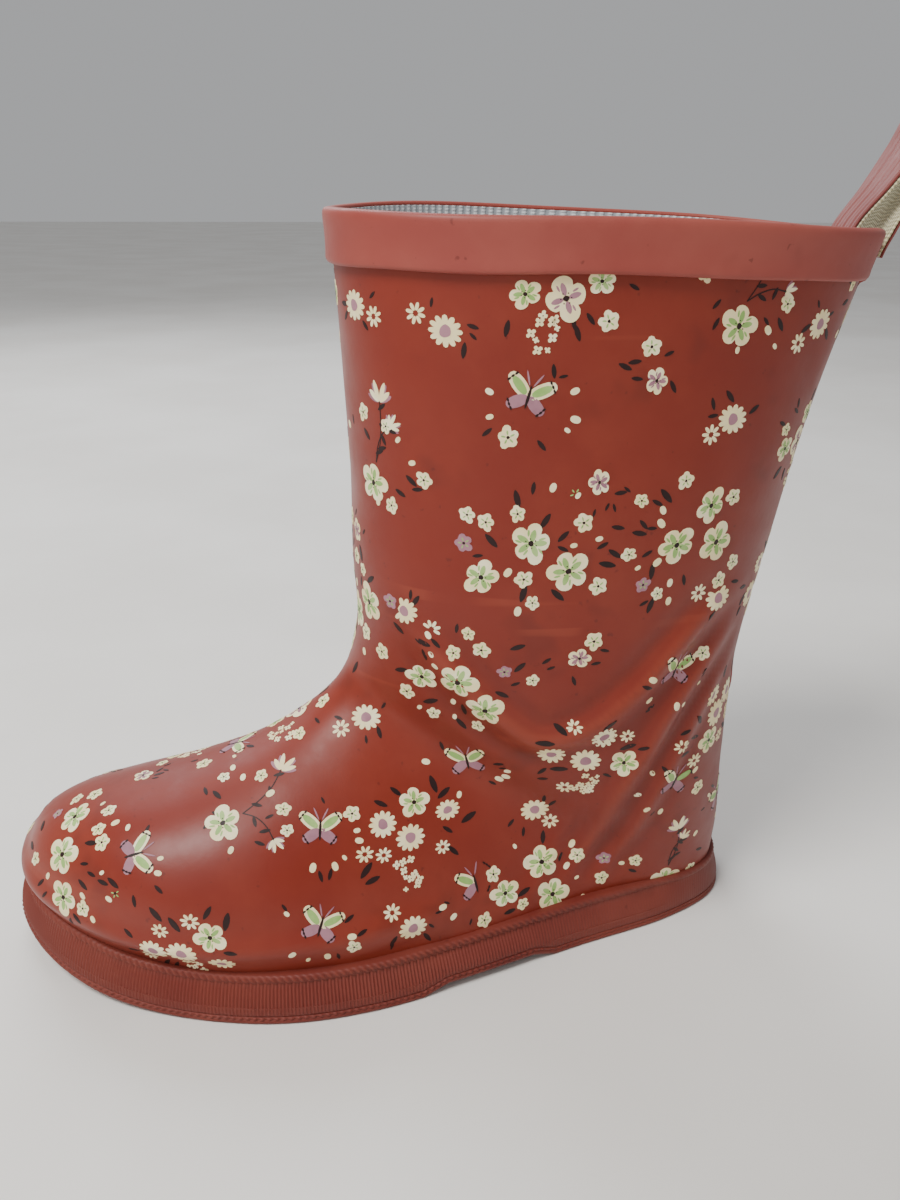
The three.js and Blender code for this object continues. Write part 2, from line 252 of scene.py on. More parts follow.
def boot_surface(t, angle, offset):
    """Points of the worn boot, at a distance outside its outer face."""
    t, angle = np.broadcast_arrays(np.asarray(t, float), np.asarray(angle, float))
    base = last_point(t, angle)
    normal = last_normal(t, angle)
    points = base + normal * (np.asarray(offset) + relief(base))[..., None]
    rim_wave = 0.6 * np.cos(angle) + 1.6 * np.sin(angle) ** 2 + 0.2 * np.sin(5 * angle)
    rim_wave -= 0.5 * np.sin(angle) * (1 + np.cos(angle))
    points[..., 2] += rim_wave * step_up(1.6, 0, t)
    return points


# ---------------------------------------------------------------- meshes

def grid_faces(rows, columns, first=0, close_rows=False, close_columns=True, flip=False):
    """Quads of a grid of vertices, facing out where rows run down and columns run with the angle."""
    i = np.arange(rows if close_rows else rows - 1)[:, None]
    j = np.arange(columns if close_columns else columns - 1)[None, :]
    i2, j2 = (i + 1) % rows, (j + 1) % columns
    a, b, c, d = (first + r * columns + q for r, q in ((i, j), (i, j2), (i2, j), (i2, j2)))
    quads = np.stack([np.broadcast_to(q, (i.size, j.size)) for q in (a, c, d, b)], axis=-1).reshape(-1, 4)
    return (quads[:, ::-1] if flip else quads).tolist()


def fan_faces(first, count, hub, flip=False):
    ring = [(first + j, first + (j + 1) % count, hub) for j in range(count)]
    return [face[::-1] for face in ring] if flip else ring


def add_piece(name, points, faces, material, sharp=50):
    mesh = bpy.data.meshes.new(name)
    mesh.from_pydata(to_metres(points).tolist(), [], faces)
    mesh.polygons.foreach_set("use_smooth", [True] * len(mesh.polygons))
    mesh.set_sharp_from_angle(angle=math.radians(sharp))
    mesh.materials.append(material)
    piece = bpy.data.objects.new(name, mesh)
    bpy.context.scene.collection.objects.link(piece)
    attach(piece, "root")
    return piece


def add_numbers(piece, name, values):
    """Gives each vertex a number that a material reads by name."""
    attribute = piece.data.attributes.new(name, "FLOAT", "POINT")
    attribute.data.foreach_set("value", np.asarray(values, np.float32))


def shell(rows_out, rows_in, columns, outside, inside, floor_out, floor_in, top):
    """A hollow boot form between two offsets, open at the collar and kept above two floors."""
    angles = np.linspace(0, 2 * np.pi, columns, endpoint=False)
    grids = []
    for rows, offset, floor in ((rows_out, outside, floor_out), (rows_in, inside, floor_in)):
        stations = top + (LAST_STATION - TIP_CUT - top) * np.linspace(0, 1, rows)
        points = boot_surface(stations[:, None], angles[None, :], offset)
        points[..., 2] = np.maximum(points[..., 2], floor + spring(points[..., 0]))
        grids.append(points.reshape(-1, 3))
    first_in = len(grids[0])
    hub = first_in + len(grids[1])
    tips = [grid[-columns:].mean(axis=0) for grid in grids]
    points = np.vstack(grids + tips)
    faces = grid_faces(rows_out, columns) + grid_faces(rows_in, columns, first_in, flip=True)
    faces += fan_faces(first_in - columns, columns, hub, flip=True)
    faces += fan_faces(hub - columns, columns, hub + 1)
    faces += [(j, (j + 1) % columns, first_in + (j + 1) % columns, first_in + j) for j in range(columns)]
    return points, faces


# ---------------------------------------------------------------- materials

def colour(red, green, blue):
    """A linear colour from screen values out of 255."""
    linear = [((c / 255 + 0.055) / 1.055) ** 2.4 if c > 10 else c / 255 / 12.92 for c in (red, green, blue)]
    return (*linear, 1)


class Look:
    """A node material with one Principled shader and short calls for its nodes."""

    def __init__(self, name, roughness, **uniform):
        self.material = bpy.data.materials.new(name)
        self.material.use_nodes = True
        self.tree = self.material.node_tree
        self.shader = self.tree.nodes["Principled BSDF"]
        self.shader.inputs["Roughness"].default_value = roughness
        for socket, value in uniform.items():
            self.shader.inputs[socket.replace("_", " ")].default_value = value
        self.place = self.tree.nodes.new("ShaderNodeTexCoord").outputs["Object"]

    def put(self, socket, value):
        if isinstance(value, bpy.types.NodeSocket):
            self.tree.links.new(value, socket)
        else:
            socket.default_value = value

    def node(self, kind, inputs, output=0, **settings):
        node = self.tree.nodes.new(kind)
        for key, value in settings.items():
            setattr(node, key, value)
        for key, value in inputs.items():
            self.put(node.inputs[key], value)
        return node.outputs[output]

    def stretched(self, scale, turn=(0, 0, 0)):
        return self.node("ShaderNodeMapping", {"Vector": self.place, "Scale": scale, "Rotation": turn})

    def noise(self, scale, detail=3, rough=0.55, place=None):
        return self.node("ShaderNodeTexNoise", {
            "Vector": place or self.place, "Scale": scale, "Detail": detail, "Roughness": rough})

    def band(self, value, low, high, to_low=0.0, to_high=1.0):
        return self.node("ShaderNodeMapRange", {
            "Value": value, "From Min": low, "From Max": high, "To Min": to_low, "To Max": to_high},
            interpolation_type="SMOOTHSTEP")

    def math(self, operation, a, b=0.0):
        return self.node("ShaderNodeMath", {0: a, 1: b}, operation=operation)

    def mix(self, factor, a, b):
        return self.node("ShaderNodeMix", {0: factor, 6: a, 7: b}, output=2, data_type="RGBA")

    def number(self, name):
        return self.node("ShaderNodeAttribute", {}, output="Fac", attribute_name=name)

    def colour(self, value):
        self.put(self.shader.inputs["Base Color"], value)

    def roughness(self, value):
        self.put(self.shader.inputs["Roughness"], value)

    def bumps(self, *layers):
        """Each layer is a height from 0 to 1 and its depth in millimetres."""
        normal = None
        for height, depth in layers:
            inputs = {"Height": height, "Distance": depth / 1000, "Strength": 1.0}
            if normal is not None:
                inputs["Normal"] = normal
            normal = self.node("ShaderNodeBump", inputs)
        self.put(self.shader.inputs["Normal"], normal)


def rubber(name, base, dust_and_highlight, dark, roughness, dust=0.5, painted_crest_light=False):
    # dust_and_highlight is the pale colour of the dust mottling and scuffs, and also of the painted highlight
    # on crests; dark serves the smudges, the specks and the painted shade in hollows.
    look = Look(name, roughness, Sheen_Weight=0.04, Sheen_Roughness=0.5, Specular_IOR_Level=0.38)
    cloud = look.noise(16, 5, 0.6)
    patch = look.noise(55, 4, 0.6)
    grain = look.noise(900, 3, 0.6)
    tone = look.mix(look.band(cloud, 0.35, 0.7, 0, dust), base, dust_and_highlight)
    tone = look.mix(look.band(patch, 0.52, 0.8, 0, 0.3), tone, dust_and_highlight)
    smudge = look.band(look.noise(34, 3, 0.7), 0.58, 0.72, 0, 0.3)
    tone = look.mix(smudge, tone, dark)
    speck = look.band(look.noise(420, 2, 0.5), 0.7, 0.77, 0, 0.45)
    tone = look.mix(speck, tone, dark)
    scuff_place = look.stretched((5, 5, 170), (0.5, 0.35, 0))
    scuff = look.math("MULTIPLY", look.band(look.noise(1, 2, 0.5, scuff_place), 0.64, 0.7),
                      look.band(look.noise(30, 2), 0.52, 0.62, 0, 0.6))
    tone = look.mix(scuff, tone, dust_and_highlight)
    # Painted highlight on the crests of folds, ribs and teeth, and painted shade in the hollows beside them,
    # both read from crest_mm.
    if painted_crest_light:
        crest = look.number("crest_mm")
        tone = look.mix(look.band(crest, 0.1, 1.3, 0, 0.7), tone, dust_and_highlight)
        tone = look.mix(look.band(crest, -0.1, -0.6, 0, 0.2), tone, dark)
    look.colour(tone)
    look.roughness(look.band(patch, 0.3, 0.75, roughness - 0.06, roughness + 0.1))
    look.bumps((cloud, 0.25), (patch, 0.1), (grain, 0.02))
    return look.material


RED = colour(118, 32, 15)
# Pale red of the dust mottling, also laid on fold crests as painted highlight.
DUST_AND_HIGHLIGHT_RED = colour(138, 54, 34)
DARK_RED = colour(74, 18, 10)
BAND_RED = colour(138, 58, 50)
BAND_DUSTY = colour(156, 80, 68)
SOLE_RED = colour(100, 32, 23)
# Pale sole red of the dust mottling, also laid on the foxing's ribs and teeth as painted highlight.
SOLE_DUST_AND_HIGHLIGHT = colour(124, 56, 42)


def ink(name, main, other):
    """Print colour with the slight unevenness of transfer print on rubber."""
    roughness = 0.5
    look = Look(name, roughness, Specular_IOR_Level=0.35)
    look.colour(look.mix(look.band(look.noise(120, 4, 0.6), 0.4, 0.7), main, other))
    look.roughness(look.band(look.noise(300), 0.3, 0.7, roughness - 0.05, roughness + 0.08))
    look.bumps((look.noise(900, 3, 0.6), 0.02))
    return look.material


def knit():
    """Fine vertical ribs of a knitted lining, from the wall's own girth and drop."""
    look = Look("knit", 0.9, Sheen_Weight=0.4, Sheen_Roughness=0.5)
    girth, drop = look.number("girth_mm"), look.number("drop_mm")
    rib = look.math("MULTIPLY", girth, 2 * math.pi / 1.25)
    loop = look.math("MULTIPLY", drop, 2 * math.pi / 0.9)
    ribs = look.band(look.math("SINE", rib), -1, 1)
    loops = look.band(look.math("SINE", loop), -1, 1)
    weave = look.math("MULTIPLY", ribs, look.band(loops, 0, 1, 0.7, 1))
    # The grooves between ribs and loops are painted darker: painted shade.
    tone = look.mix(weave, colour(168, 172, 176), colour(224, 226, 227))
    look.colour(look.mix(look.band(look.noise(40, 4), 0.5, 0.75, 0, 0.35), tone, colour(150, 150, 148)))
    look.bumps((weave, 0.35), (look.noise(1500, 2), 0.05))
    return look.material


def woven(name, light, shade):
    """Herringbone-like weave of the strap's tape, from its own length and width."""
    look = Look(name, 0.85, Sheen_Weight=0.4, Sheen_Roughness=0.5)
    along, across = look.number("along_mm"), look.number("across_mm")
    warp = look.math("SINE", look.math("MULTIPLY", across, 2 * math.pi / 0.8))
    zigzag = look.math("ADD", look.math("MULTIPLY", along, 2 * math.pi / 1.1),
                       look.math("MULTIPLY", look.math("PINGPONG", across, 2.5), 1.6))
    weave = look.band(look.math("ADD", warp, look.math("SINE", zigzag)), -2, 2)
    tone = look.mix(weave, shade, light)
    look.colour(look.mix(look.band(look.noise(60, 4), 0.5, 0.8, 0, 0.5), tone, shade))
    look.bumps((weave, 0.3))
    return look.material


def textile():
    """The footbed's plain cloth, a little soiled."""
    look = Look("insole_textile", 0.95, Sheen_Weight=0.3)
    fibre = look.noise(700, 4, 0.7)
    tone = look.mix(look.band(fibre, 0.3, 0.7), colour(150, 152, 154), colour(196, 198, 200))
    look.colour(look.mix(look.band(look.noise(22, 4), 0.45, 0.75, 0, 0.55), tone, colour(128, 122, 114)))
    look.bumps((look.noise(90, 3), 0.3), (fibre, 0.15))
    return look.material


# ---------------------------------------------------------------- upper, lining and footbed

UPPER_WALL = 1.5
LINING = 0.6

LINING_GAP = 0.05
LINING_GIRTH = 224
FOOTBED_GAP = 0.35
FOOTBED_BASE = 1.75
FOOTBED_TOP = 3.3
# The line, in x and y, that the footbed's rings close on.
FOOTBED_SPINE = ((38, -3), (90, 0), (130, 3), (172, -4))


def add_upper():
    """The printed rubber shell; gives the tree that the foxing and the print look for it in."""
    points, faces = shell(260, 80, 216, 0, -UPPER_WALL, SEAT + 0.2, SEAT + 0.8, top=0.012)
    look = rubber("printed_rubber", RED, DUST_AND_HIGHLIGHT_RED, DARK_RED, 0.46, painted_crest_light=True)
    piece = add_piece("upper_rubber", points, faces, look, sharp=70)
    # The fold heights give painted highlight on the ridges and painted shade in the hollows beside them.
    add_numbers(piece, "crest_mm", folds(points))
    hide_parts("upper")
    return BVHTree.FromPolygons(points.tolist(), faces)


def add_lining():
    """The knit inside the rubber, with the girth and drop that its ribs follow."""
    rows, columns = 90, 180
    outside, inside = -UPPER_WALL - LINING_GAP, -UPPER_WALL - LINING
    points, faces = shell(rows, rows, columns, outside, inside, SEAT + 1.1, SEAT + 1.6, top=0.02)
    piece = add_piece("lining_knit", points, faces, knit(), sharp=80)
    rings = points[:-2].reshape(-1, columns, 3)
    steps = np.linalg.norm(np.diff(rings[:rows], axis=0), axis=2).mean(axis=1)
    drop = np.r_[0, np.cumsum(steps)]
    girth = np.tile(np.linspace(0, LINING_GIRTH, columns, endpoint=False), 2 * rows)
    add_numbers(piece, "girth_mm", np.r_[girth, 0, 0])
    add_numbers(piece, "drop_mm", np.r_[np.repeat(np.r_[drop, drop], columns), 0, 0])


upper_tree = add_upper()
add_lining()


def outline_ring(count):
    """Points round the sole with the way out at each."""
    points = spline(OUTLINE, count, closed=True)[0]
    way = np.roll(points, -1, axis=0) - np.roll(points, 1, axis=0)
    way /= np.linalg.norm(way, axis=1, keepdims=True)
    return points, np.stack([-way[:, 1], way[:, 0]], axis=1)


def upper_depth(points, outward, height):
    """How far in from the sole's outline the upper's outer face stands at a height."""
    stand_off = 20
    depths = []
    for (x, y), (nx, ny) in zip(points, outward):
        start = Vector((x + stand_off * nx, y + stand_off * ny, height + spring(x)))
        hit = upper_tree.ray_cast(start, Vector((-nx, -ny, 0)), 3 * stand_off)
        depths.append(hit[3] - stand_off if hit[0] else np.nan)
    depths = np.array(depths)
    good = ~np.isnan(depths)
    depths = np.interp(np.arange(len(depths)), np.flatnonzero(good), depths[good])
    window = max(len(depths) // 90, 1)
    padded = np.r_[depths[-window:], depths, depths[:window]]
    return np.convolve(padded, np.ones(2 * window + 1) / (2 * window + 1), "valid")


def sweep(points, outward, insets, heights):
    """A closed ring round the sole from profiles given as insets and heights, one row a place."""
    flat = points[:, None, :] - outward[:, None, :] * insets[..., None]
    return np.concatenate([flat, heights[..., None]], axis=2)


def add_insole():
    """A footbed with a rounded rim, cupped at the heel and a little worn under the ball."""
    count, rings = 180, 24
    ring, outward = outline_ring(count)
    depth = upper_depth(ring, outward, 9) + UPPER_WALL + LINING + FOOTBED_GAP
    edge = ring - outward * depth[:, None]
    along, sideways = zip(*FOOTBED_SPINE)
    spine_x = np.clip(edge[:, 0], along[0], along[-1])
    spine = np.stack([spine_x, np.interp(spine_x, along, sideways)], axis=1)
    shares = np.r_[0, 0.004, 0.012, 0.03, np.linspace(0.06, 1, rings)]
    top = []
    for share in shares:
        flat = edge * (1 - share) + spine * share
        rounding = -0.9 * (1 - step_up(0, 0.03, share))
        cup = 0.9 * step_up(60, 15, flat[:, 0]) * (1 - share) ** 2
        wear = -0.25 * np.exp(-(((flat[:, 0] - 140) / 25) ** 2)) * share
        height = SEAT + FOOTBED_TOP + spring(flat[:, 0]) + rounding + cup + wear
        top.append(np.concatenate([flat, height[:, None]], axis=1))
    low = np.concatenate([edge, (SEAT + FOOTBED_BASE + spring(edge[:, 0]))[:, None]], axis=1)
    points = np.vstack([low] + top + [low.mean(axis=0)])
    faces = grid_faces(len(shares) + 1, count, flip=True)
    faces += fan_faces(0, count, len(points) - 1)
    piece = add_piece("insole_footbed", points, faces, textile(), sharp=80)
    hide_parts("insole")


add_insole()

# ---------------------------------------------------------------- collar band and back strip

SEAM_ANGLE = 4.22
STRIP_WIDENING = 1.15


def band_station(drop, angle):
    """The station a distance down from the rim, for drops within the band."""
    return drop / np.linalg.norm(last_point(0.0, angle) - last_point(1.0, angle), axis=-1)


def add_collar_band():
    """The band's section, as (distance down from the rim, distance out), rolled over the wall's top edge."""
    section = np.array([
        (0.55, -1.5), (0.05, -1.45), (-0.25, -1.1), (-0.38, -0.4), (-0.4, 0.4), (-0.3, 1.05), (0, 1.45),
        (0.5, 1.68), (1.2, 1.78), (2.4, 1.76), (4, 1.68), (6, 1.62), (8, 1.64), (9.6, 1.74), (10.5, 1.82),
        (11, 1.75), (11.3, 1.5), (11.46, 1.1), (BAND_HEIGHT, 0.6), (11.4, -0.3), (7, -0.5), (2, -0.6),
    ])
    columns = 320
    angles = np.linspace(0, 2 * np.pi, columns, endpoint=False)
    lower_wave = 0.25 * np.sin(3 * angles + 1) + 0.15 * np.sin(8 * angles)
    past_seam = (angles - SEAM_ANGLE) % (2 * np.pi)
    overlap = 0.55 * step_up(0, 0.02, past_seam) * (1 - step_up(0.15, 1.2, past_seam))
    drop = section[:, :1] + lower_wave[None, :] * step_up(8, 11, section[:, :1])
    out = section[:, 1:] + (overlap * (1 - step_up(5.8, 6.2, past_seam)))[None, :] * (section[:, 1:] > 0.2)
    points = boot_surface(band_station(drop, angles[None, :]), angles[None, :], out)
    faces = grid_faces(len(section), columns, close_rows=True)
    look = rubber("band_rubber", BAND_RED, BAND_DUSTY, DARK_RED, 0.55, dust=0.7)
    piece = add_piece("collar_band_rubber", points.reshape(-1, 3), faces, look)
    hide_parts("collar_band")
    return look


def add_back_strip(look):
    """A strip with rounded edges that climbs over the band and ends at the rim."""
    half = STRIP_WIDENING * STRIP_HALF_ANGLE
    side = [(1, -0.25), (1, 0.5), (0.985, 0.8), (0.955, 0.96), (0.9, 1), (0.6, 1.04), (0.3, 1.06)]
    across = np.array([(-u, v) for u, v in side] + [(0, 1.07)] + side[::-1])
    stations = np.r_[0.0, 0.004, np.linspace(0.012, STRIP_END, 150)]
    band_end = band_station(BAND_HEIGHT, np.pi)
    over_band = 1 - step_up(band_end - 0.005, band_end + 0.05, stations)
    seat = 0.05 + 1.7 * over_band
    fade = step_up(0, 0.012, stations)
    end = step_up(STRIP_END, STRIP_END - 0.04, stations)
    narrowing = 1 - 0.1 * step_up(2.6, STRIP_END, stations)
    angles = np.pi + half * narrowing[:, None] * across[None, :, 0]
    thick = across[None, :, 1] * (0.35 + 0.65 * fade * end)[:, None]
    points = boot_surface(stations[:, None], angles, seat[:, None] + thick)
    columns = len(across)
    points = points.reshape(-1, 3)
    hubs = np.vstack([points[:columns].mean(axis=0), points[-columns:].mean(axis=0)])
    faces = grid_faces(len(stations), columns)
    faces += fan_faces(0, columns, len(points))
    faces += fan_faces(len(points) - columns, columns, len(points) + 1, flip=True)
    piece = add_piece("back_strip_rubber", np.vstack([points, hubs]), faces, look)
    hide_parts("back_strip")


band_look = add_collar_band()
add_back_strip(band_look)

# ---------------------------------------------------------------- pull loop

def strap_layer(name, low, high, width, material, wrinkle):
    """One layer of the strap, from one distance to another out of the strap's middle line."""
    rows = 170
    line, length = spline(STRAP_LINE, rows)
    way = np.gradient(line, axis=0)
    way /= np.linalg.norm(way, axis=1, keepdims=True)
    inward = np.stack([-way[:, 1], way[:, 0]], axis=1)
    side = np.linspace(-1, 1, 41)
    y = width / 2 * side
    run = np.linspace(0, length, rows)[:, None]
    fine = np.sin(2 * np.pi * y / 2.1 + 0.8 * np.sin(run / 9)) + 0.6 * np.sin(2 * np.pi * y / 3.7 + run / 14)
    slow = 0.5 * np.sin(run / 6.5 + y / 5)
    edge = step_up(1, 0.93, np.abs(side))
    outer = high - (high - low) * 0.35 * (1 - edge) + wrinkle * (fine + slow) * edge
    inner = low + (high - low) * 0.35 * (1 - edge) + 0 * run
    taper = 1 - 0.28 * step_up(0.45, 0.2, run / length) - 0.12 * step_up(0.93, 1, run / length)
    loops = []
    for distance, order in ((outer, slice(None)), (inner, slice(None, None, -1))):
        sideways = (y * taper)[:, order]
        flat = line[:, None, :] - inward[:, None, :] * distance[:, order, None]
        loops.append(np.stack([flat[..., 0], sideways, flat[..., 1]], axis=-1))
    points = np.concatenate(loops, axis=1)
    columns = points.shape[1]
    points = points.reshape(-1, 3)
    hubs = np.vstack([points[:columns].mean(axis=0), points[-columns:].mean(axis=0)])
    faces = grid_faces(rows, columns, flip=True)
    faces += fan_faces(0, columns, len(points), flip=True)
    faces += fan_faces(len(points) - columns, columns, len(points) + 1)
    piece = add_piece(name, np.vstack([points, hubs]), faces, material)
    add_numbers(piece, "along_mm", np.r_[np.repeat(run.ravel(), columns), 0, length])
    add_numbers(piece, "across_mm", np.r_[np.tile(np.r_[y, y[::-1]], rows), 0, 0])
    return piece


strap_look = rubber("strap_rubber", colour(112, 40, 35), colour(138, 70, 60), DARK_RED, 0.5)
strap = strap_layer("pull_loop_rubber", 0.02, 0.95, STRAP_WIDTH, strap_look, 0.085)
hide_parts("pull_loop")
tape_look = woven("strap_tape", colour(222, 214, 176), colour(150, 140, 100))
strap_layer("pull_loop_tape", -0.85, 0.0, STRAP_WIDTH + 0.3, tape_look, 0.02)

# ---------------------------------------------------------------- foxing and sole edge

LIP_TOP = 2.5
BEAD_WIDTH = 1.5
FOXING_LOW_INSET = -0.22


def arch_rise(x):
    return np.interp(x, *zip(*ARCH))


def add_foxing():
    """The strip round the foot: fine upright ribs, leaning in to a knurled bead along the upper."""
    ribs = 520
    count = 4 * ribs
    ring, outward = outline_ring(count)
    x = ring[:, 0]
    low, top = LIP_TOP + arch_rise(x) + spring(x), foxing_height(x)
    depth = upper_depth(ring, outward, FOXING_TOP - 1)
    bead_inset = np.clip(depth - BEAD_WIDTH, 0.2, 2.4)
    worn = 0.25 + 0.75 * step_up(30, 80, x)
    rib = np.cos(2 * np.pi * np.arange(count) / 4)
    tooth = np.cos(2 * np.pi * np.arange(count) / 8)
    low_inset = np.full(count, FOXING_LOW_INSET)
    none = np.zeros(count)
    face_low, face_high = low + 0.5, top - 2.4
    # Each row is (inset, height, crest); the crest gives painted highlight on the ribs' and teeth's tops and
    # painted shade between the teeth.
    profile = [
        (low_inset + 1.6, low, none),
        (low_inset + 0.25, low, none),
        (low_inset + 0.05, low + 0.2, none),
    ]
    for share in np.linspace(0, 1, 7):
        lean = low_inset + (bead_inset + 0.35 - low_inset) * share**1.6
        height = face_low + share * (face_high - face_low)
        profile.append((lean - 0.16 * rib * worn, height, 0.35 * (1 + rib) * worn))
    for share, swell in ((0.06, 0.35), (0.2, 0.8), (0.4, 1), (0.6, 1), (0.8, 0.75), (0.93, 0.3)):
        knurl = np.roll(tooth, int(8 * share)) * worn
        inset = bead_inset + 0.45 * (1 - swell) - 0.3 * swell * knurl
        profile.append((inset, top - 2.2 * (1 - share), swell * (0.4 + 0.8 * knurl)))
    profile += [
        (bead_inset + 0.8, top + 0.05, none),
        (depth + 0.9, top - 0.1, none),
        (depth + 0.9, low + 2, none),
    ]
    insets, heights, crests = (np.stack(rows, axis=1) for rows in zip(*profile))
    points = sweep(ring, outward, insets, heights)
    faces = grid_faces(count, len(profile), close_rows=True)
    look = rubber("foxing_rubber", SOLE_RED, SOLE_DUST_AND_HIGHLIGHT, DARK_RED, 0.6, dust=0.6, painted_crest_light=True)
    piece = add_piece("foxing_ribbed", points.reshape(-1, 3), faces, look, 60)
    add_numbers(piece, "crest_mm", crests.ravel())
    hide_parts("foxing_band")


def add_sole_edge(look):
    """The sole's moulded lip under the foxing: a row of small teeth over a rounded foot."""
    teeth = 260
    count = 8 * teeth
    ring, outward = outline_ring(count)
    x = ring[:, 0]
    low = spring(x) + arch_rise(x) + 0.15
    worn = 0.35 + 0.65 * step_up(30, 80, x)
    tooth = step_up(-0.3, 0.3, np.cos(2 * np.pi * np.arange(count) / 8)) * worn
    rows = [(2.2, 1.0, 0), (0.0, 1.0, 0), (-0.1, 0.95, 0.15), (-0.2, 0.85, 0.4), (-0.2, 0.7, 0.4),
            (-0.1, 0.6, 0.1), (-0.35, 0.5, 0), (-0.45, 0.3, 0), (-0.35, 0.1, 0), (-0.1, 0.02, 0), (0.4, 0, 0),
            (2.2, 0, 0)]
    insets = np.stack([inset - amount * tooth for inset, _, amount in rows], axis=1)
    heights = np.stack([low + share * (LIP_TOP - 0.35) for _, share, _ in rows], axis=1)
    points = sweep(ring, outward, insets, heights)
    faces = grid_faces(count, len(rows), close_rows=True, flip=True)
    add_piece("sole_lip", points.reshape(-1, 3), faces, look, 60)


add_foxing()
sole_look = rubber("sole_rubber", SOLE_RED, SOLE_DUST_AND_HIGHLIGHT, DARK_RED, 0.62, dust=0.8)
add_sole_edge(sole_look)
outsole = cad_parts["outsole"]
outsole.data.materials.clear()
outsole.data.materials.append(sole_look)

# ---------------------------------------------------------------- the print

PRINT_DEPTH = 0.3
PRINT_LIFT = 0.06
SPOT_TRIES = 80
RING_SPACING = 1.0


def turned(points, degrees):
    a = math.radians(degrees)
    return np.asarray(points) @ np.array([[math.cos(a), math.sin(a)], [-math.sin(a), math.cos(a)]])


def round_shape(radius, lobes, depth, turn, squash, count):
    """A flower-like outline with so many lobes, as deep as asked."""
    a = np.linspace(0, 2 * np.pi, count, endpoint=False)
    uneven = 1 + 0.07 * np.sin(2 * a + 7 * radius) + 0.05 * np.sin(3 * a + 3 * radius)
    r = radius * uneven * (1 - depth + depth * np.abs(np.cos(lobes * a / 2)) ** 0.6)
    return turned(np.stack([r * np.cos(a), r * np.sin(a) * squash], axis=1), turn)


def petal_shape(length, width, turn, count=12, tip=0.8):
    """A pointed oval about its own middle."""
    a = np.linspace(0, 2 * np.pi, count, endpoint=False)
    across = width / 2 * np.sign(np.sin(a)) * np.abs(np.sin(a)) ** (1 / tip)
    return turned(np.stack([length / 2 * np.cos(a), across], axis=1), turn)


